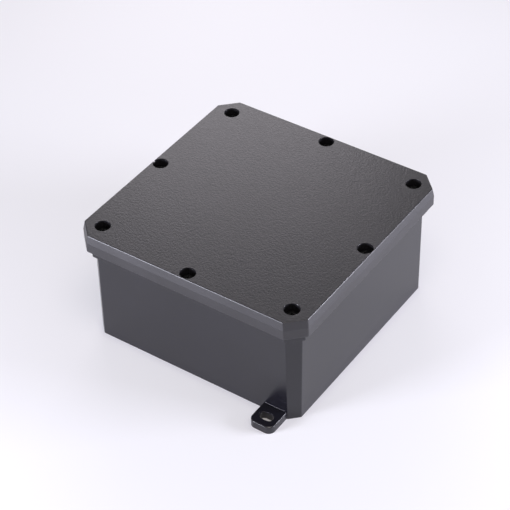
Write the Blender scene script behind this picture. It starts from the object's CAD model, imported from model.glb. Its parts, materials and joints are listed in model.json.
"""Finishes, screws, gland nuts and studio for the waterproof junction box.

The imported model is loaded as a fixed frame. Its mouldings keep their meshes and get procedural
finishes. Screws and gland nuts are built here with their threads, drives and rounded edges.
Lengths are in metres unless a name ends in _mm.
"""

from __future__ import annotations

import json
import logging
import math
from dataclasses import dataclass, field, replace
from enum import Enum

import bmesh
import bpy
import numpy as np
from mathutils import Matrix, Vector

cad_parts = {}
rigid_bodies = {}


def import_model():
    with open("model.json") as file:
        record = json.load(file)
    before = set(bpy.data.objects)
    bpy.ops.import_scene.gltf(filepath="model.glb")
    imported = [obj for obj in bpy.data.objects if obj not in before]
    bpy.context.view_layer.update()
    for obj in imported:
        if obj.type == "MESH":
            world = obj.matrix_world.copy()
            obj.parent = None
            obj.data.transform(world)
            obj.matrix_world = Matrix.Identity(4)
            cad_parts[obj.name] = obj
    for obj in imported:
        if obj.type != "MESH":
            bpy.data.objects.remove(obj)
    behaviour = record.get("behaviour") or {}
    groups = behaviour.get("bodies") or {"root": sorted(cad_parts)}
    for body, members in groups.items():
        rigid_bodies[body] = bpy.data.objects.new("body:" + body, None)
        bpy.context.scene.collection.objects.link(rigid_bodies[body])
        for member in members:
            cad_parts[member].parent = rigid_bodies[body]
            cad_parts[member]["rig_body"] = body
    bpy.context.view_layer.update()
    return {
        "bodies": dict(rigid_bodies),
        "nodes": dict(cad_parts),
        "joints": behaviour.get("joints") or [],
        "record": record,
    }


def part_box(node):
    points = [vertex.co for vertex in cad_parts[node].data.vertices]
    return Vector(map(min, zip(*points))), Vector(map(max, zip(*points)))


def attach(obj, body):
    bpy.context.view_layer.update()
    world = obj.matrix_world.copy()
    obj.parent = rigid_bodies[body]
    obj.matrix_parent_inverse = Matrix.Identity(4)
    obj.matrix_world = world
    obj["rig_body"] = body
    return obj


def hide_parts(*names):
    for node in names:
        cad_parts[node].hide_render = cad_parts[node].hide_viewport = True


LOG = logging.getLogger("junction_box")
MM = 0.001

Colour = tuple[float, float, float]
Span = tuple[float, float]
Socket = bpy.types.NodeSocket
Inputs = dict[str | int, object]

# Most values of a noise texture lie in this range.
NOISE_CORE: Span = (0.3, 0.7)


class Drive(Enum):
    """Shape of the driver recess in a screw's head."""

    CROSS = "cross"
    SLOT = "slot"


class Side(Enum):
    """Side of the box that a gland points out of."""

    BACK = "back"
    LEFT = "left"

    def rotation(self) -> np.ndarray:
        """Gives the matrix that turns a gland's own +Z to point out of this side."""
        if self is Side.BACK:
            return np.array([[1.0, 0.0, 0.0], [0.0, 0.0, 1.0], [0.0, -1.0, 0.0]])
        return np.array([[0.0, 0.0, -1.0], [0.0, 1.0, 0.0], [1.0, 0.0, 0.0]])


class NodeSheet:
    """Adds shader nodes to one node tree and links them by socket name."""

    def __init__(self, tree: bpy.types.NodeTree) -> None:
        """Empties the tree.

        Args:
            tree: The node tree of a material or of the world.
        """
        tree.nodes.clear()
        self.tree = tree

    def add(self, kind: str, inputs: Inputs | None = None, **settings: object) -> bpy.types.Node:
        """Adds one node.

        Args:
            kind: The node's Blender type.
            inputs: A value or an output socket for each named input.
            **settings: Values of the node's own properties.

        Returns:
            The new node.
        """
        node = self.tree.nodes.new(kind)
        for key, value in settings.items():
            setattr(node, key, value)
        for key, value in (inputs or {}).items():
            if isinstance(value, Socket):
                self.tree.links.new(value, node.inputs[key])
            else:
                node.inputs[key].default_value = value
        return node

    def math(self, operation: str, first: object, second: object) -> Socket:
        """Gives the result of one arithmetic step.

        Args:
            operation: The arithmetic that the node does.
            first: A number or socket.
            second: A number or socket.

        Returns:
            The output socket.
        """
        return self.add("ShaderNodeMath", {0: first, 1: second}, operation=operation).outputs[0]

    def mix(self, share: object, first: object, second: object) -> Socket:
        """Gives first where share is 0 and second where it is 1.

        Args:
            share: A number or socket.
            first: A number or socket.
            second: A number or socket.

        Returns:
            The output socket.
        """
        return self.add("ShaderNodeMix", {0: share, 2: first, 3: second}).outputs[0]

    def ramp(self, value: Socket, low: float, high: float, start: float = 0.0, end: float = 1.0) -> Socket:
        """Maps a value smoothly from one range to another.

        Args:
            value: A socket.
            low: The value that gives start.
            high: The value that gives end.
            start: The result at low.
            end: The result at high.

        Returns:
            The output socket.
        """
        inputs = {0: value, 1: low, 2: high, 3: start, 4: end}
        return self.add("ShaderNodeMapRange", inputs, interpolation_type="SMOOTHSTEP").outputs[0]

    def spread(self, noise: Socket, shares: Span, mean: float = 1.0) -> Socket:
        """Varies a mean with a noise.

        Args:
            noise: The noise's socket.
            shares: Least and greatest result, as shares of the mean.
            mean: The value that is varied.

        Returns:
            The output socket.
        """
        return self.ramp(noise, *NOISE_CORE, mean * shares[0], mean * shares[1])

    def place(self) -> Socket:
        """Gives the Object coordinates."""
        return self.add("ShaderNodeTexCoord").outputs["Object"]

    def noise(self, place: Socket, scale: float, detail: float, roughness: float = 0.5) -> Socket:
        """Gives a cloudy noise.

        Args:
            place: The coordinates that it is read at.
            scale: Number of clouds to a metre.
            detail: Number of finer layers.
            roughness: Strength of the finer layers.

        Returns:
            The output socket.
        """
        inputs = {"Vector": place, "Scale": scale, "Detail": detail, "Roughness": roughness}
        return self.add("ShaderNodeTexNoise", inputs).outputs[0]

    def softened(self, radius_mm: float, samples: int) -> Socket:
        """Gives the normal with its edges softened.

        Args:
            radius_mm: Radius of the softening.
            samples: Rays that look for an edge.

        Returns:
            The output socket.
        """
        return self.add("ShaderNodeBevel", {"Radius": radius_mm * MM}, samples=samples).outputs[0]

    def bump(self, height: Socket, depth_mm: float, normal: Socket) -> Socket:
        """Gives a normal with relief.

        Args:
            height: A socket from 0 in the pits to 1 on the crests.
            depth_mm: Height of the crests over the pits.
            normal: The normal that the relief is laid on.

        Returns:
            The output socket.
        """
        inputs = {"Height": height, "Distance": depth_mm * MM, "Normal": normal}
        return self.add("ShaderNodeBump", inputs).outputs[0]

    def coat(self, colour: Colour, shade: Socket, inputs: Inputs) -> None:
        """Covers the surface with a shader whose colour is clouded.

        Args:
            colour: Linear base colour.
            shade: What the colour is multiplied by.
            inputs: The shader's other inputs.
        """
        tint = self.add("ShaderNodeVectorMath", {0: colour, "Scale": shade}, operation="SCALE").outputs[0]
        shader = self.add("ShaderNodeBsdfPrincipled", {"Base Color": tint, **inputs})
        self.add("ShaderNodeOutputMaterial", {"Surface": shader.outputs[0]})


def new_material(name: str) -> tuple[bpy.types.Material, NodeSheet]:
    """Makes an empty material.

    Args:
        name: The material's name.

    Returns:
        The material and the sheet for its nodes.
    """
    material = bpy.data.materials.new(name)
    material.use_nodes = True
    return material, NodeSheet(material.node_tree)


@dataclass(frozen=True)
class MouldedPlastic:
    """Moulded plastic: satin sides, and an eroded grain where a face looks up.

    Attributes:
        name: The material's name.
        slot: The record's material slot.
        colour: Linear base colour.
        roughness: Roughness of the smooth faces.
        roughness_shares: Least and greatest roughness of the smooth faces, as shares of it.
        skin_depth_mm: Depth of the very fine grain of the smooth faces.
        top_z: Height above which an upward face is grained, or None for no grain.
        top_level: Cosine of the greatest tilt of an upward face.
        top_roughness: Roughness of the grained faces.
        top_shares: Least and greatest roughness of the grained faces, as shares of it.
        grain_mm: Size of the grain.
        grain_depth_mm: Depth of the grain.
        grain_detail: Finer layers of the grain.
        grain_roughness: Strength of those layers.
        grain_cut: Values of the noise at the floor of a pit and at the top of a crest.
        edge_mm: Radius that edges are softened to.
        edge_samples: Rays that look for an edge.
        edge_roughness: Roughness of the softened edges, which the mould leaves smooth.
        edge_turn: Cosines of a normal's turn at which an edge is fully smooth, and is a face again.
        cloud_scale: Clouds of the shade to a metre.
        cloud_detail: Finer layers of the clouds.
        shade: Darkest and lightest shade, as shares of the colour.
        specular: Specular level of the shader.
    """

    name: str
    slot: str
    colour: Colour
    roughness: float
    roughness_shares: Span = (0.96, 1.04)
    skin_depth_mm: float = 0.002
    top_z: float | None = None
    top_level: float = 0.95
    top_roughness: float = 0.5
    top_shares: Span = (0.85, 1.15)
    grain_mm: float = 0.95
    grain_depth_mm: float = 0.03
    grain_detail: float = 3.0
    grain_roughness: float = 0.6
    grain_cut: Span = (0.34, 0.66)
    edge_mm: float = 0.15
    edge_samples: int = 6
    edge_roughness: float = 0.16
    edge_turn: Span = (0.96, 0.995)
    cloud_scale: float = 45.0
    cloud_detail: float = 3.0
    shade: Span = (0.9, 1.1)
    specular: float = 0.5

    def build(self) -> bpy.types.Material:
        """Makes the material.

        Returns:
            The material, with its node tree.
        """
        material, sheet = new_material(self.name)
        place = sheet.place()
        cloud = sheet.noise(place, self.cloud_scale, self.cloud_detail)
        fine = sheet.noise(place, 1 / (self.grain_mm * MM), self.grain_detail, self.grain_roughness)
        softened = sheet.softened(self.edge_mm, self.edge_samples)
        roughness = sheet.spread(cloud, self.roughness_shares, self.roughness)
        normal = sheet.bump(fine, self.skin_depth_mm, softened)
        if self.top_z is not None:
            top = self._top_mask(sheet, place)
            grain = sheet.math("MULTIPLY", sheet.ramp(fine, *self.grain_cut), top)
            normal = sheet.bump(grain, self.grain_depth_mm, normal)
            roughness = sheet.mix(top, roughness, sheet.spread(fine, self.top_shares, self.top_roughness))
        inputs = {
            "Roughness": self._smooth_edges(sheet, softened, roughness),
            "Specular IOR Level": self.specular,
            "Normal": normal,
        }
        sheet.coat(self.colour, sheet.spread(cloud, self.shade), inputs)
        return material

    def _top_mask(self, sheet: NodeSheet, place: Socket) -> Socket:
        """Tells upward faces above top_z from all others.

        Args:
            sheet: The material's nodes.
            place: The Object coordinates.

        Returns:
            A socket with 1 on those faces and 0 elsewhere.
        """
        height = sheet.add("ShaderNodeSeparateXYZ", {0: place}).outputs["Z"]
        face = sheet.add("ShaderNodeNewGeometry").outputs["True Normal"]
        upward = sheet.add("ShaderNodeSeparateXYZ", {0: face}).outputs["Z"]
        above = sheet.math("GREATER_THAN", height, self.top_z)
        level = sheet.math("GREATER_THAN", upward, self.top_level)
        return sheet.math("MULTIPLY", above, level)

    def _smooth_edges(self, sheet: NodeSheet, softened: Socket, roughness: Socket) -> Socket:
        """Gives softened edges their own roughness.

        An edge is known by the cosine between the softened normal and the face's own.

        Args:
            sheet: The material's nodes.
            softened: The softened normal.
            roughness: The roughness of the faces.

        Returns:
            The socket of the roughness.
        """
        face = sheet.add("ShaderNodeNewGeometry").outputs["Normal"]
        cosine = sheet.add("ShaderNodeVectorMath", {0: softened, 1: face}, operation="DOT_PRODUCT")
        return sheet.mix(sheet.ramp(cosine.outputs["Value"], *self.edge_turn), self.edge_roughness, roughness)


@dataclass(frozen=True)
class Rubber:
    """Matt rubber or foamed silicone with fine pores.

    Attributes:
        name: The material's name.
        slot: The record's material slot.
        colour: Linear base colour.
        roughness: Roughness of the surface.
        pore_mm: Size of the pores.
        pore_depth_mm: Depth of the pores.
        edge_mm: Radius that edges are softened to.
        edge_samples: Rays that look for an edge.
        dust_scale: Clouds of dust to a metre.
        dust_detail: Finer layers of the dust.
        shade: Darkest and lightest shade, as shares of the colour.
    """

    name: str
    slot: str
    colour: Colour
    roughness: float = 0.75
    pore_mm: float = 0.4
    pore_depth_mm: float = 0.03
    edge_mm: float = 0.2
    edge_samples: int = 4
    dust_scale: float = 260.0
    dust_detail: float = 4.0
    shade: Span = (0.8, 1.25)

    def build(self) -> bpy.types.Material:
        """Makes the material.

        Returns:
            The material, with its node tree.
        """
        material, sheet = new_material(self.name)
        place = sheet.place()
        cells = sheet.add("ShaderNodeTexVoronoi", {"Vector": place, "Scale": 1 / (self.pore_mm * MM)})
        dust = sheet.noise(place, self.dust_scale, self.dust_detail)
        softened = sheet.softened(self.edge_mm, self.edge_samples)
        inputs = {
            "Roughness": self.roughness,
            "Normal": sheet.bump(cells.outputs[0], self.pore_depth_mm, softened),
        }
        sheet.coat(self.colour, sheet.spread(dust, self.shade), inputs)
        return material


@dataclass(frozen=True)
class PlatedMetal:
    """Turned or plated metal with fine tool marks and clouded brightness.

    Attributes:
        name: The material's name.
        slot: The record's material slot.
        colour: Linear colour of the bare metal.
        roughness: Mean roughness.
        roughness_shares: Least and greatest roughness, as shares of the mean.
        metallic: How metallic the surface is.
        cloud_scale: Clouds to a metre.
        cloud_detail: Finer layers of the clouds.
        shade: Darkest and lightest shade, as shares of the colour.
        mark_scale: Tool marks to a metre.
        mark_detail: Finer layers of the tool marks.
        mark_depth_mm: Depth of the tool marks.
        edge_mm: Radius that edges are softened to.
        edge_samples: Rays that look for an edge.
    """

    name: str
    slot: str
    colour: Colour
    roughness: float
    roughness_shares: Span = (0.8, 1.3)
    metallic: float = 1.0
    cloud_scale: float = 600.0
    cloud_detail: float = 4.0
    shade: Span = (0.82, 1.1)
    mark_scale: float = 4000.0
    mark_detail: float = 2.0
    mark_depth_mm: float = 0.004
    edge_mm: float = 0.12
    edge_samples: int = 4

    def build(self) -> bpy.types.Material:
        """Makes the material.

        Returns:
            The material, with its node tree.
        """
        material, sheet = new_material(self.name)
        place = sheet.place()
        cloud = sheet.noise(place, self.cloud_scale, self.cloud_detail)
        marks = sheet.noise(place, self.mark_scale, self.mark_detail)
        softened = sheet.softened(self.edge_mm, self.edge_samples)
        inputs = {
            "Roughness": sheet.spread(cloud, self.roughness_shares, self.roughness),
            "Metallic": self.metallic,
            "Normal": sheet.bump(marks, self.mark_depth_mm, softened),
        }
        sheet.coat(self.colour, sheet.spread(cloud, self.shade), inputs)
        return material


Finish = MouldedPlastic | Rubber | PlatedMetal


def weld(mesh: bpy.types.Mesh, doubled: float = 1e-7, collapsed: float = 1e-8) -> None:
    """Merges doubled points, drops collapsed faces and turns every face outwards.

    Args:
        mesh: A closed skin.
        doubled: Points nearer than this are merged.
        collapsed: Edges shorter than this are dropped.
    """
    work = bmesh.new()
    work.from_mesh(mesh)
    bmesh.ops.remove_doubles(work, verts=work.verts, dist=doubled)
    bmesh.ops.dissolve_degenerate(work, edges=work.edges, dist=collapsed)
    bmesh.ops.recalc_face_normals(work, faces=work.faces)
    work.to_mesh(mesh)
    work.free()


def soft_min(first: np.ndarray, second: np.ndarray, blend: float) -> np.ndarray:
    """Gives the lesser of two fields, rounded over the stretch where they differ by less than blend."""
    near = np.clip(blend - np.abs(first - second), 0.0, None) / blend
    return np.minimum(first, second) - near**2 * blend / 4


def smooth_step(value: np.ndarray, low: float, high: float) -> np.ndarray:
    """Gives 0 below low and 1 above high, with a smooth rise between."""
    share = np.clip((value - low) / (high - low), 0.0, 1.0)
    return share * share * (3 - 2 * share)


def dense_path(points: list[tuple[float, float]], step: float) -> np.ndarray:
    """Puts further points on a bent line, no more than step apart, and keeps its corners.

    Args:
        points: The line's corners.
        step: Greatest distance between neighbours.

    Returns:
        The points, as n x 2.
    """
    corners = np.array(points, float)
    stretches = [corners[:1]]
    for start, end in zip(corners[:-1], corners[1:]):
        parts = max(int(math.ceil(np.linalg.norm(end - start) / step)), 1)
        stretches.append(start + (end - start) * (np.arange(1, parts + 1) / parts)[:, None])
    return np.vstack(stretches)


def ring_angles(around: int) -> np.ndarray:
    """Gives the angles of the points of one ring, evenly spaced over a full turn."""
    return np.arange(around) * 2 * math.pi / around


def turned(rings: np.ndarray, angle: float) -> np.ndarray:
    """Gives the rings turned round +Z by an angle in radians."""
    cos, sin = math.cos(angle), math.sin(angle)
    return rings @ np.array([[cos, sin, 0.0], [-sin, cos, 0.0], [0.0, 0.0, 1.0]])


def direction(azimuth_deg: float, elevation_deg: float) -> Vector:
    """Gives the unit vector to a point round the object, azimuth 0 on its -Y side and 90 on its +X side."""
    azimuth, elevation = math.radians(azimuth_deg), math.radians(elevation_deg)
    level = math.cos(elevation)
    return Vector((math.sin(azimuth) * level, -math.cos(azimuth) * level, math.sin(elevation)))


@dataclass(frozen=True)
class Screw:
    """A screw with a helical thread and a driver recess, standing on its own +Z with its seat at 0.

    Attributes:
        length: Length under the head.
        thread_d: Diameter over the thread.
        pitch: Distance between turns.
        thread_depth: Depth of the thread.
        head_d: Diameter of the head.
        head_h: Height of the head.
        head_round: Radius of the head's upper edge.
        drive: Shape of the driver recess.
        drive_across: Length of a recess arm, end to end.
        drive_width: Width of a recess arm.
        drive_depth: Depth of the recess.
        point: Length of the tapered tip.
        point_share: Radius at the end of the tip, as a share of the thread's.
        flank: Steepness of the thread's flanks. Above 1 the root between them is flat.
        turn_rows: Rings to a turn of the thread.
        under_shares: Chamfer under the head's edge, as shares of its diameter and height.
        wall_share: Softness of the recess's walls, as a share of the head's radius.
        slope_share: Stretch over which a cross recess slopes to its floor, as a share of its reach.
    """

    length: float
    thread_d: float
    pitch: float
    thread_depth: float
    head_d: float
    head_h: float
    head_round: float
    drive: Drive
    drive_across: float
    drive_width: float
    drive_depth: float
    point: float = 0.0
    point_share: float = 0.45
    flank: float = 1.25
    turn_rows: int = 8
    under_shares: Span = (0.04, 0.06)
    wall_share: float = 0.09
    slope_share: float = 0.45

    def fitted(self, low: Vector, high: Vector) -> Screw:
        """Gives this screw with its length and head's diameter taken from an upright box.

        Args:
            low: The box's lower corner.
            high: The box's upper corner.

        Returns:
            The fitted screw.
        """
        return replace(self, length=high.z - self.head_h - low.z, head_d=high.x - low.x)

    def rings(self, around: int = 96) -> np.ndarray:
        """Works out the skin: a profile turned round +Z, its shank cut by a helix and its top by the drive.

        On the shank the radius is the outer radius less the thread's depth times a triangle wave of
        height over pitch less angle over a full turn. On the head's top the height drops by the
        recess's depth field.

        Args:
            around: Points in a ring.

        Returns:
            Points, as rings x around x 3.
        """
        angle = ring_angles(around)
        return np.concatenate([self._shank(angle), self._head(angle)])

    def _shank(self, angle: np.ndarray, least_rows: int = 12) -> np.ndarray:
        """Works out the rings from the middle of the tip up to the underside of the head.

        Args:
            angle: Angles of the points of a ring.
            least_rows: Rings of the shortest shank.

        Returns:
            Points, as rings x angles x 3.
        """
        rows = max(int(self.length / self.pitch * self.turn_rows), least_rows)
        height = np.linspace(-self.length, 0.0, rows)[:, None]
        phase = (height / self.pitch - angle[None, :] / (2 * math.pi)) % 1.0
        wave = np.clip(np.abs(2 * phase - 1) * self.flank, 0.0, 1.0)
        radius = self.thread_d / 2 - self.thread_depth * wave
        if self.point:
            rise = np.clip((height + self.length) / self.point, 0.0, 1.0)
            cone = self.thread_d / 2 * (self.point_share + (1 - self.point_share) * rise)
            radius = np.minimum(radius, cone)
        height = np.broadcast_to(height, radius.shape)
        shank = np.stack([radius * np.cos(angle), radius * np.sin(angle), height], axis=-1)
        end = np.zeros((1, len(angle), 3))
        end[..., 2] = -self.length
        return np.concatenate([end, shank])

    def _head(
        self, angle: np.ndarray, edge_rings: int = 7, cut_rings: int = 4, top_rings: int = 29
    ) -> np.ndarray:
        """Works out the rings from the underside of the head over its edge to the middle of its top.

        Args:
            angle: Angles of the points of a ring.
            edge_rings: Rings of the rounded edge.
            cut_rings: How many of those, counted from the top, the recess may cut.
            top_rings: Rings of the flat top.

        Returns:
            Points, as rings x angles x 3.
        """
        outer = self.head_d / 2
        bend = np.linspace(0.0, math.pi / 2, edge_rings)
        edge_r = outer - self.head_round * (1 - np.cos(bend))
        edge_z = self.head_h - self.head_round * (1 - np.sin(bend))
        top_r = np.linspace(edge_r[-1], 0.0, top_rings + 1)[1:]
        inward, upward = self.under_shares
        radius = np.concatenate([[outer - inward * self.head_d, outer], edge_r, top_r])
        height = np.concatenate([[0.0, upward * self.head_h], edge_z, np.full(top_rings, self.head_h)])
        x = radius[:, None] * np.cos(angle)
        y = radius[:, None] * np.sin(angle)
        on_top = np.arange(len(radius)) >= len(radius) - top_rings - cut_rings
        z = height[:, None] - self._recess(x, y) * on_top[:, None]
        return np.stack([x, y, z], axis=-1)

    def _recess(self, x: np.ndarray, y: np.ndarray) -> np.ndarray:
        """Works out the driver recess: its depth times one arm, or the deeper of two crossed arms.

        Args:
            x: First coordinate of the head's points.
            y: Second coordinate of the head's points.

        Returns:
            The depth at each point.
        """
        share = self._arm(x, y)
        if self.drive is Drive.CROSS:
            share = np.maximum(share, self._arm(y, x))
        return self.drive_depth * share

    def _arm(self, along: np.ndarray, across: np.ndarray) -> np.ndarray:
        """Works out one arm: a smooth step across it, and in a cross also a slope towards its ends.

        Args:
            along: Coordinate along the arm.
            across: Coordinate across the arm.

        Returns:
            0 outside the arm and 1 on its floor.
        """
        wall = self.wall_share * self.head_d / 2
        half = self.drive_width / 2
        sides = 1 - smooth_step(np.abs(across), half - wall, half + wall)
        if self.drive is Drive.SLOT:
            return sides
        reach = self.drive_across / 2
        return sides * np.clip((reach - np.abs(along)) / (self.slope_share * reach), 0.0, 1.0)


PAN_HEAD = Screw(
    length=7 * MM, thread_d=2.9 * MM, pitch=1.3 * MM, thread_depth=0.4 * MM,
    head_d=6 * MM, head_h=2.2 * MM, head_round=0.9 * MM, drive=Drive.CROSS,
    drive_across=3.6 * MM, drive_width=0.8 * MM, drive_depth=1.3 * MM, point=1.2 * MM,
)
CHEESE_HEAD = Screw(
    length=7.1 * MM, thread_d=3.5 * MM, pitch=0.6 * MM, thread_depth=0.3 * MM,
    head_d=5.2 * MM, head_h=2.2 * MM, head_round=0.25 * MM, drive=Drive.SLOT,
    drive_across=5.2 * MM, drive_width=0.9 * MM, drive_depth=1.1 * MM,
)


@dataclass
class Workshop:
    """Holds the loaded frame and the finishes, and turns point grids into dressed pieces.

    Attributes:
        frame: The loaded frame.
        materials: The materials made so far, by name.
    """

    frame: dict
    materials: dict[str, bpy.types.Material] = field(default_factory=dict)

    def material(self, finish: Finish) -> bpy.types.Material:
        """Gives a finish's material, made at its first use.

        Args:
            finish: The finish.

        Returns:
            Its material.
        """
        if finish.name not in self.materials:
            self.materials[finish.name] = finish.build()
        return self.materials[finish.name]

    def dress(self, node: str, finish: Finish) -> None:
        """Gives a CAD node a finish.

        Args:
            node: The node's name.
            finish: The finish that it gets.
        """
        piece = self.frame["nodes"][node]
        piece.data.materials.clear()
        piece.data.materials.append(self.material(finish))
        LOG.info("dressed %s in %s", node, finish.name)

    def body_of(self, node: str) -> str:
        """Gives the name of the body that carries a CAD node."""
        return self.frame["nodes"][node]["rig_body"]

    def replace(self, node: str, rings: np.ndarray, finish: Finish, smooth_deg: float = 38.0) -> None:
        """Builds a closed skin of rings and lets it stand for a CAD node.

        Args:
            node: The CAD node that the new piece stands for.
            rings: Points, as rings x points x 3. The first and last ring close to a point or onto each other.
            finish: The finish of the new piece.
            smooth_deg: Edges sharper than this stay crisp.
        """
        count, around = rings.shape[:2]
        ring, step = np.meshgrid(np.arange(count - 1), np.arange(around), indexing="ij")
        turn = (step + 1) % around
        quads = np.stack([ring * around + step, ring * around + turn,
                          (ring + 1) * around + turn, (ring + 1) * around + step], axis=-1).reshape(-1, 4)
        name = f"{node}_detail"
        mesh = bpy.data.meshes.new(name)
        mesh.from_pydata(rings.reshape(-1, 3).tolist(), [], quads.tolist())
        weld(mesh)
        mesh.shade_smooth()
        mesh.set_sharp_from_angle(angle=math.radians(smooth_deg))
        mesh.materials.append(self.material(finish))
        piece = bpy.data.objects.new(name, mesh)
        bpy.context.scene.collection.objects.link(piece)
        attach(piece, self.body_of(node))
        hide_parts(node)
        LOG.info("built %s with %d faces", name, len(mesh.polygons))

    def replace_screw(self, node: str, screw: Screw, turn_deg: float, finish: Finish) -> None:
        """Stands a detailed screw in the place of an upright CAD one, with the tops of the heads level.

        Args:
            node: The CAD screw.
            screw: The form of the new screw.
            turn_deg: Turn of its drive.
            finish: Its finish.
        """
        low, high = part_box(node)
        seat = np.array([(low.x + high.x) / 2, (low.y + high.y) / 2, high.z - screw.head_h])
        self.replace(node, turned(screw.rings(), math.radians(turn_deg)) + seat, finish)


@dataclass
class Enclosure:
    """The box, its lid and the gasket between them, which keep their CAD meshes.

    Attributes:
        shop: The workshop.
        box: Finish of the box.
        lid: Finish of the lid.
        gasket: Finish of the gasket.
    """

    shop: Workshop
    box: Finish
    lid: Finish
    gasket: Finish

    def build(self) -> None:
        """Dresses the three mouldings."""
        self.shop.dress("base_box", self.box)
        self.shop.dress("lid", self.lid)
        self.shop.dress("lid_gasket", self.gasket)


@dataclass
class LidScrews:
    """The eight blackened cross-head screws that hold the lid down.

    Attributes:
        shop: The workshop.
        finish: Finish of the screws.
        screw: Form of each screw.
        count: Number of screws.
        turn_deg: Turn of the drives, at number 0 and added at each number.
    """

    shop: Workshop
    finish: Finish
    screw: Screw = PAN_HEAD
    count: int = 8
    turn_deg: Span = (23.0, 37.0)

    def build(self) -> None:
        """Stands a detailed screw in the place of each CAD one."""
        start, step = self.turn_deg
        for number in range(1, self.count + 1):
            self.shop.replace_screw(f"lid_screw_{number}", self.screw, start + step * number, self.finish)


@dataclass
class TerminalBlock:
    """The terminal block on its two posts: housing, brass clamps and plated screws.

    Attributes:
        shop: The workshop.
        housing: Finish of the housing.
        brass: Finish of the wire clamps.
        plated: Finish of all screws.
        poles: Number of wire clamps, each with two clamp screws.
        posts: Number of posts, each with one block screw.
        clamp_screw: Form of a clamp screw, before it is fitted.
        clamp_turn_deg: Turn of their drives, at number 0 and added at each number.
        block_screw: Form of a block screw, before it is fitted.
        block_turn_deg: Turn of their drives, at number 0 and added at each number.
    """

    shop: Workshop
    housing: Finish
    brass: Finish
    plated: Finish
    poles: int = 3
    posts: int = 2
    clamp_screw: Screw = CHEESE_HEAD
    clamp_turn_deg: Span = (15.0, 48.0)
    block_screw: Screw = PAN_HEAD
    block_turn_deg: Span = (0.0, 40.0)

    def build(self) -> None:
        """Dresses the block and builds its screws."""
        self.shop.dress("terminal_housing", self.housing)
        for number in range(1, self.poles + 1):
            self.shop.dress(f"wire_clamp_{number}", self.brass)
        self._screws("clamp_screw", 2 * self.poles, self.clamp_screw, self.clamp_turn_deg)
        self._screws("block_screw", self.posts, self.block_screw, self.block_turn_deg)

    def _screws(self, name: str, count: int, screw: Screw, turn_deg: Span) -> None:
        """Builds a set of like screws, each fitted to the box of its CAD node.

        Args:
            name: The nodes' name without their number.
            count: Number of screws.
            screw: Their form, before it is fitted.
            turn_deg: Turn of the drives, at number 0 and added at each number.
        """
        start, step = turn_deg
        for number in range(1, count + 1):
            node = f"{name}_{number}"
            self.shop.replace_screw(node, screw.fitted(*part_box(node)), start + step * number, self.plated)


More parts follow.
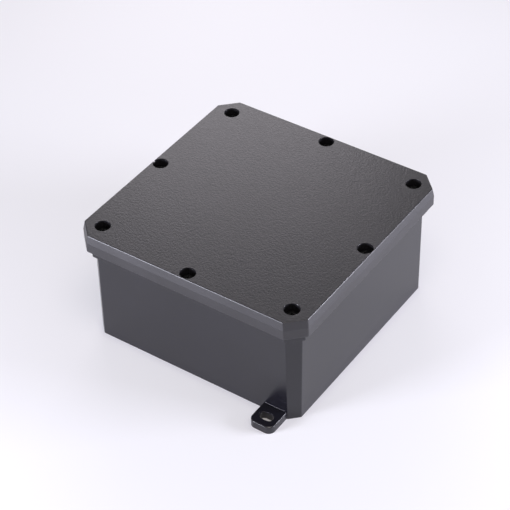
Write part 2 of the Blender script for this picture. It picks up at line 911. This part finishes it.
@dataclass
class Gland:
    """One cable gland: its nut is built with rounded flats, the other pieces are dressed.

    Attributes:
        shop: The workshop.
        name: The nodes' name without their part.
        side: Side of the box that it points out of.
        plastic: Finish of body, locknut and nut.
        rubber: Finish of washer and seal.
        spanner_mm: Size of the nut over its flats.
        cable_d_mm: Diameter of the thickest cable that it takes.
        neck_l_mm: Length of the threaded neck.
        neck_in_mm: What the neck's diameter is less than the spanner size.
        cage_l_mm: Length of the cage of fingers on the neck.
        cage_in_mm: What the cage's diameter is less than the neck's.
        play_mm: Play of the nut on the neck.
        step_mm: What the steps of the bore lie below the ends of neck and cage.
        mouth_play_mm: Play of the mouth round the cable.
        lip_mm: Chamfer of the mouth.
        tip_wall_mm: Wall round the mouth, at the top of the dome.
        dome_in_mm: What the dome's foot stands in from the flats.
        dome_deg: Arc of the dome.
        dome_points: Points on that arc.
        over_mm: What the turned outline stands outside the hexagon's corners.
        slope_mm: Height of the slopes that cut the corners.
        foot_in_mm: What the outline starts in from the flats, and the chamfer of the bore.
        shoulder_in_mm: What the outline stands in from the flats under the dome.
        round_mm: Rounding between a flat and a slope.
    """

    shop: Workshop
    name: str
    side: Side
    plastic: Finish
    rubber: Finish
    spanner_mm: float
    cable_d_mm: float
    neck_l_mm: float = 4.5
    neck_in_mm: float = 3.6
    cage_l_mm: float = 7.0
    cage_in_mm: float = 1.6
    play_mm: float = 0.05
    step_mm: float = 0.2
    mouth_play_mm: float = 0.5
    lip_mm: float = 0.4
    tip_wall_mm: float = 1.0
    dome_in_mm: float = 0.6
    dome_deg: float = 70.0
    dome_points: int = 15
    over_mm: float = 0.4
    slope_mm: float = 1.0
    foot_in_mm: float = 0.3
    shoulder_in_mm: float = 0.2
    round_mm: float = 0.5

    def build(self) -> None:
        """Dresses the gland's pieces and builds its nut."""
        for part in ("body", "locknut"):
            self.shop.dress(f"{self.name}_{part}", self.plastic)
        for part in ("washer", "seal"):
            self.shop.dress(f"{self.name}_{part}", self.rubber)
        node = f"{self.name}_nut"
        low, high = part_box(node)
        start = (np.array(low) + np.array(high)) / 2
        if self.side is Side.BACK:
            length = high.y - low.y
            start[1] = low.y
        else:
            length = high.x - low.x
            start[0] = high.x
        rings = self._nut_rings(length / MM) * MM
        self.shop.replace(node, rings @ self.side.rotation().T + start, self.plastic)

    def _nut_rings(self, length: float, around: int = 180) -> np.ndarray:
        """Works out the nut's skin in millimetres: hexagon, shoulder and dome outside, stepped bore inside.

        Outside, the radius is the lesser of a turned profile and the hexagon's own radius, half the
        spanner size over the cosine of the angle from the nearest flat, with the corner between them
        rounded. Inside it is a turned profile.

        Args:
            length: Length of the nut.
            around: Points in a ring.

        Returns:
            Points, as rings x around x 3, standing on +Z.
        """
        angle = ring_angles(around)
        from_flat = angle % (math.pi / 3) - math.pi / 6
        hexagon = self.spanner_mm / 2 / np.cos(from_flat)
        outside, inside = self._outside(length), self._inside(length)
        profile_r, outside_z = outside[:, :1], outside[:, 1:]
        outside_r = np.where(outside_z > length / 2, profile_r, soft_min(profile_r, hexagon, self.round_mm))
        inside_r = np.broadcast_to(inside[:, :1], (len(inside), around))
        radius = np.vstack([outside_r, inside_r])
        radius[0] = radius[-1]
        height = np.broadcast_to(np.vstack([outside_z, inside[:, 1:]]), radius.shape)
        return np.stack([radius * np.cos(angle), radius * np.sin(angle), height], axis=-1)

    def _mouth_r(self) -> float:
        """Gives the radius of the nut's mouth."""
        return self.cable_d_mm / 2 + self.mouth_play_mm

    def _outside(self, length: float, step: float = 0.4, dome_step: float = 0.5) -> np.ndarray:
        """Draws the turned outside: two slopes that cut the hexagon's corners, then an elliptic dome.

        Args:
            length: Length of the nut.
            step: Greatest distance between points under the dome.
            dome_step: Greatest distance between points of the dome.

        Returns:
            Radius and height of each point, as n x 2.
        """
        flat = self.spanner_mm / 2
        shoulder = length / 2
        over = flat / math.cos(math.pi / 6) + self.over_mm
        tip = self._mouth_r() + self.tip_wall_mm
        bend = np.radians(np.linspace(0.0, self.dome_deg, self.dome_points))
        dome_r = tip + (flat - self.dome_in_mm - tip) * np.cos(bend)
        dome_z = shoulder + (length - shoulder) * np.sin(bend) / np.sin(bend[-1])
        dome = list(zip(dome_r, dome_z))
        skirt = [(flat - self.foot_in_mm, 0.0), (over, self.slope_mm), (over, shoulder - self.slope_mm),
                 (flat - self.shoulder_in_mm, shoulder), dome[0]]
        crown = [*dome, (self._mouth_r() + self.lip_mm, length)]
        return np.vstack([dense_path(skirt, step), dense_path(crown, dome_step)[1:]])

    def _inside(self, length: float, step: float = 1.0) -> np.ndarray:
        """Draws the turned inside, from the mouth down over cage and neck to the open end.

        Args:
            length: Length of the nut.
            step: Greatest distance between points.

        Returns:
            Radius and height of each point, as n x 2.
        """
        flat = self.spanner_mm / 2
        mouth = self._mouth_r()
        neck = flat - self.neck_in_mm / 2 + self.play_mm
        cage = neck - self.cage_in_mm / 2
        neck_z = self.neck_l_mm - self.step_mm
        cage_z = self.neck_l_mm + self.cage_l_mm - self.step_mm
        corners = [(mouth, length - self.lip_mm), (mouth, cage_z), (cage, cage_z), (cage, neck_z),
                   (neck, neck_z), (neck, self.foot_in_mm), (neck + self.foot_in_mm, 0.0),
                   (flat - self.foot_in_mm, 0.0)]
        return dense_path(corners, step)


@dataclass(frozen=True)
class SoftBox:
    """A rectangular lamp that faces the object and is itself out of sight.

    Attributes:
        name: The lamp's name.
        azimuth_deg: Direction of the lamp round the object, 0 on the -Y side and 90 on the +X side.
        elevation_deg: Height of the lamp above the horizon.
        distance: Distance from the object.
        width: Length of the lamp's level side.
        height: Length of its other side.
        watts: Power of the lamp.
        colour: Colour of its light.
    """

    name: str
    azimuth_deg: float
    elevation_deg: float
    distance: float
    width: float
    height: float
    watts: float
    colour: Colour

    def build(self, aim: Vector) -> None:
        """Puts the lamp in its place.

        Args:
            aim: The point that it faces.
        """
        data = bpy.data.lights.new(self.name, "AREA")
        data.shape = "RECTANGLE"
        data.size = self.width
        data.size_y = self.height
        data.energy = self.watts
        data.color = self.colour
        lamp = bpy.data.objects.new(self.name, data)
        out = direction(self.azimuth_deg, self.elevation_deg)
        lamp.location = aim + out * self.distance
        lamp.rotation_euler = (-out).to_track_quat("-Z", "Y").to_euler()
        lamp.visible_camera = False
        bpy.context.scene.collection.objects.link(lamp)


COOL_LIGHT: Colour = (0.95, 0.95, 1.10)
WARM_LIGHT: Colour = (1.07, 0.98, 0.93)
ROSE_LIGHT: Colour = (1.02, 0.96, 1.03)


@dataclass
class Studio:
    """Pale floor, even surroundings, soft lamps and the camera at the photographed angle.

    Attributes:
        floor_colour: Linear colour of the paper floor and of the backdrop.
        floor_half: Half the floor's side.
        glow_level: Strength of the floor's own light, for the camera and for shiny pieces.
        glow_share: Share of that light in the floor's look near the object.
        glow_reach: Distances from the object between which that share rises to 1.
        contact_mm: Reach of the shade round what stands on the floor.
        contact_power: Steepness of that shade.
        contact_samples: Rays that look for that shade.
        world_colour: Colour of the even light.
        world_level: Strength of the even light.
        backdrop_level: Strength of the backdrop.
        mirrored_share: Share of the backdrop that shiny pieces show.
        aim: The point that the lamps face.
        target: A point on the middle line of the picture.
        azimuth_deg: Direction of the camera round the object, 0 on the -Y side and 90 on the +X side.
        elevation_deg: Height of the camera above the horizon.
        roll_deg: Turn of the camera about its line of sight.
        distance: Distance from the camera to the target.
        focal_px: Focal length, in pixels of the photograph.
        frame_px: Width of the photograph, in pixels.
        sensor_mm: Width of the camera's sensor.
        lamps: The lamps.
    """

    floor_colour: Colour = (0.905, 0.902, 0.93)
    floor_half: float = 3.0
    glow_level: float = 0.98
    glow_share: float = 0.35
    glow_reach: Span = (0.25, 0.65)
    contact_mm: float = 4.5
    contact_power: float = 2.0
    contact_samples: int = 8
    world_colour: Colour = (0.97, 0.98, 1.0)
    world_level: float = 0.15
    backdrop_level: float = 0.96
    mirrored_share: float = 0.35
    aim: tuple[float, float, float] = (0.0, 0.0, 0.04)
    target: tuple[float, float, float] = (0.017789, -0.030131, 0.062)
    azimuth_deg: float = 35.147
    elevation_deg: float = 40.79
    roll_deg: float = -1.422
    distance: float = 0.794139
    focal_px: float = 1809.8
    frame_px: float = 510.0
    sensor_mm: float = 36.0
    lamps: tuple[SoftBox, ...] = (
        SoftBox("right_low", azimuth_deg=113.0, elevation_deg=8.0, distance=0.6,
                width=0.30, height=0.20, watts=6.4, colour=COOL_LIGHT),
        SoftBox("left_low", azimuth_deg=-28.0, elevation_deg=8.0, distance=0.6,
                width=0.22, height=0.20, watts=5.3, colour=COOL_LIGHT),
        SoftBox("front_high", azimuth_deg=45.0, elevation_deg=68.0, distance=0.9,
                width=0.40, height=0.40, watts=2.2, colour=WARM_LIGHT),
        SoftBox("back", azimuth_deg=-141.0, elevation_deg=28.0, distance=0.4,
                width=0.24, height=0.19, watts=0.40, colour=ROSE_LIGHT),
    )

    def build(self) -> None:
        """Builds floor, world, lamps and camera."""
        self._floor()
        self._world()
        for lamp in self.lamps:
            lamp.build(Vector(self.aim))
        self._camera()

    def _floor(self) -> None:
        """Lays a wide matt floor under the box.

        The camera and shiny pieces see it partly as paper and partly as a sheet with its own even
        light, fully so in the distance. In the narrow shade round the box it is paper alone.
        """
        half = self.floor_half
        corners = [(-half, -half, 0), (half, -half, 0), (half, half, 0), (-half, half, 0)]
        mesh = bpy.data.meshes.new("studio_floor")
        mesh.from_pydata(corners, [], [(0, 1, 2, 3)])
        floor = bpy.data.objects.new("studio_floor", mesh)
        bpy.context.scene.collection.objects.link(floor)
        material, sheet = new_material("studio_floor_paper")
        colour = (*self.floor_colour, 1.0)
        paper = sheet.add("ShaderNodeBsdfDiffuse", {"Color": colour})
        glow = sheet.add("ShaderNodeEmission", {"Color": colour, "Strength": self.glow_level})
        contact = sheet.add("ShaderNodeAmbientOcclusion", {"Distance": self.contact_mm * MM},
                            samples=self.contact_samples)
        away = sheet.add("ShaderNodeVectorMath", {0: sheet.place()}, operation="LENGTH").outputs["Value"]
        distant = sheet.ramp(away, *self.glow_reach, self.glow_share, 1.0)
        lit = sheet.math("POWER", contact.outputs["AO"], self.contact_power)
        share = sheet.math("MULTIPLY", sheet.math("MULTIPLY", self._seen(sheet, 1.0), distant), lit)
        shader = sheet.add("ShaderNodeMixShader", {0: share, 1: paper.outputs[0], 2: glow.outputs[0]})
        sheet.add("ShaderNodeOutputMaterial", {"Surface": shader.outputs[0]})
        mesh.materials.append(material)

    def _world(self) -> None:
        """Lights the room evenly, and shows the camera and shiny pieces a pale backdrop."""
        world = bpy.data.worlds.new("studio_room")
        world.use_nodes = True
        bpy.context.scene.world = world
        sheet = NodeSheet(world.node_tree)
        surroundings = ((self.world_colour, self.world_level), (self.floor_colour, self.backdrop_level))
        light, backdrop = (
            sheet.add("ShaderNodeBackground", {"Color": (*colour, 1.0), "Strength": level}).outputs[0]
            for colour, level in surroundings
        )
        share = self._seen(sheet, self.mirrored_share)
        mixed = sheet.add("ShaderNodeMixShader", {0: share, 1: light, 2: backdrop})
        sheet.add("ShaderNodeOutputWorld", {"Surface": mixed.outputs[0]})

    @staticmethod
    def _seen(sheet: NodeSheet, mirrored: float) -> Socket:
        """Tells the rays that see the surroundings from those that only bring light.

        Args:
            sheet: The nodes of the material or world.
            mirrored: What a reflection or a see-through piece gets.

        Returns:
            A socket with 1 for the camera, the given share for reflections and 0 for plain light.
        """
        path = sheet.add("ShaderNodeLightPath").outputs
        shiny = sheet.math("MAXIMUM", path["Is Glossy Ray"], path["Is Transmission Ray"])
        return sheet.math("MAXIMUM", path["Is Camera Ray"], sheet.math("MULTIPLY", shiny, mirrored))

    def _camera(self) -> None:
        """Puts the camera where the photograph's perspective says that it stood."""
        azimuth, roll = math.radians(self.azimuth_deg), math.radians(self.roll_deg)
        back = direction(self.azimuth_deg, self.elevation_deg)
        level = Vector((math.cos(azimuth), math.sin(azimuth), 0.0))
        upward = back.cross(level)
        right = math.cos(roll) * level + math.sin(roll) * upward
        up = math.cos(roll) * upward - math.sin(roll) * level
        data = bpy.data.cameras.new("camera")
        data.sensor_width = self.sensor_mm
        data.lens = self.focal_px * self.sensor_mm / self.frame_px
        camera = bpy.data.objects.new("camera", data)
        camera.matrix_world = Matrix((right, up, back)).transposed().to_4x4()
        camera.location = Vector(self.target) + back * self.distance
        bpy.context.scene.collection.objects.link(camera)
        bpy.context.scene.camera = camera


BOX_BLACK = MouldedPlastic("box_black", "box_plastic", (0.0050, 0.0047, 0.0080), roughness=0.26,
                           edge_mm=0.22, specular=0.62)
LID_BLACK = MouldedPlastic("lid_black", "box_plastic", (0.0145, 0.0136, 0.0160), roughness=0.42,
                           top_roughness=0.33, top_z=61.8 * MM, edge_mm=0.22, specular=0.62)
GLAND_BLACK = MouldedPlastic("gland_black", "gland_plastic", (0.014, 0.014, 0.015), roughness=0.36,
                             edge_mm=0.2)
TERMINAL_CREAM = MouldedPlastic("terminal_cream", "terminal_plastic", (0.66, 0.62, 0.50), roughness=0.38,
                                edge_mm=0.2)
GASKET_GREY = Rubber("gasket_grey", "gasket_silicone", (0.10, 0.105, 0.115))
GLAND_RUBBER = Rubber("gland_rubber_black", "gland_rubber", (0.012, 0.012, 0.012), roughness=0.6,
                      pore_depth_mm=0.01)
SCREW_BLACK = PlatedMetal("screw_black", "blackened_screw", (0.012, 0.012, 0.013), roughness=0.35,
                          metallic=0.6)
SCREW_ZINC = PlatedMetal("screw_zinc", "plated_screw", (0.62, 0.63, 0.66), roughness=0.28)
CLAMP_BRASS = PlatedMetal("clamp_brass", "clamp_brass", (0.66, 0.47, 0.19), roughness=0.3)


def main() -> None:
    """Builds the dressed box and the studio round the loaded frame."""
    logging.basicConfig(level=logging.INFO, format="%(name)s: %(message)s")
    bpy.context.scene.view_settings.view_transform = "Standard"
    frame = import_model()
    shop = Workshop(frame)
    Enclosure(shop, BOX_BLACK, LID_BLACK, GASKET_GREY).build()
    LidScrews(shop, SCREW_BLACK).build()
    for name, side, spanner_mm, cable_d_mm in (
        ("out_gland_1", Side.BACK, 19.0, 8.0),
        ("out_gland_2", Side.BACK, 19.0, 8.0),
        ("supply_gland", Side.LEFT, 24.0, 12.0),
    ):
        Gland(shop, name, side, GLAND_BLACK, GLAND_RUBBER, spanner_mm, cable_d_mm).build()
    TerminalBlock(shop, TERMINAL_CREAM, CLAMP_BRASS, SCREW_ZINC).build()
    Studio().build()


if __name__ == "__main__":
    main()
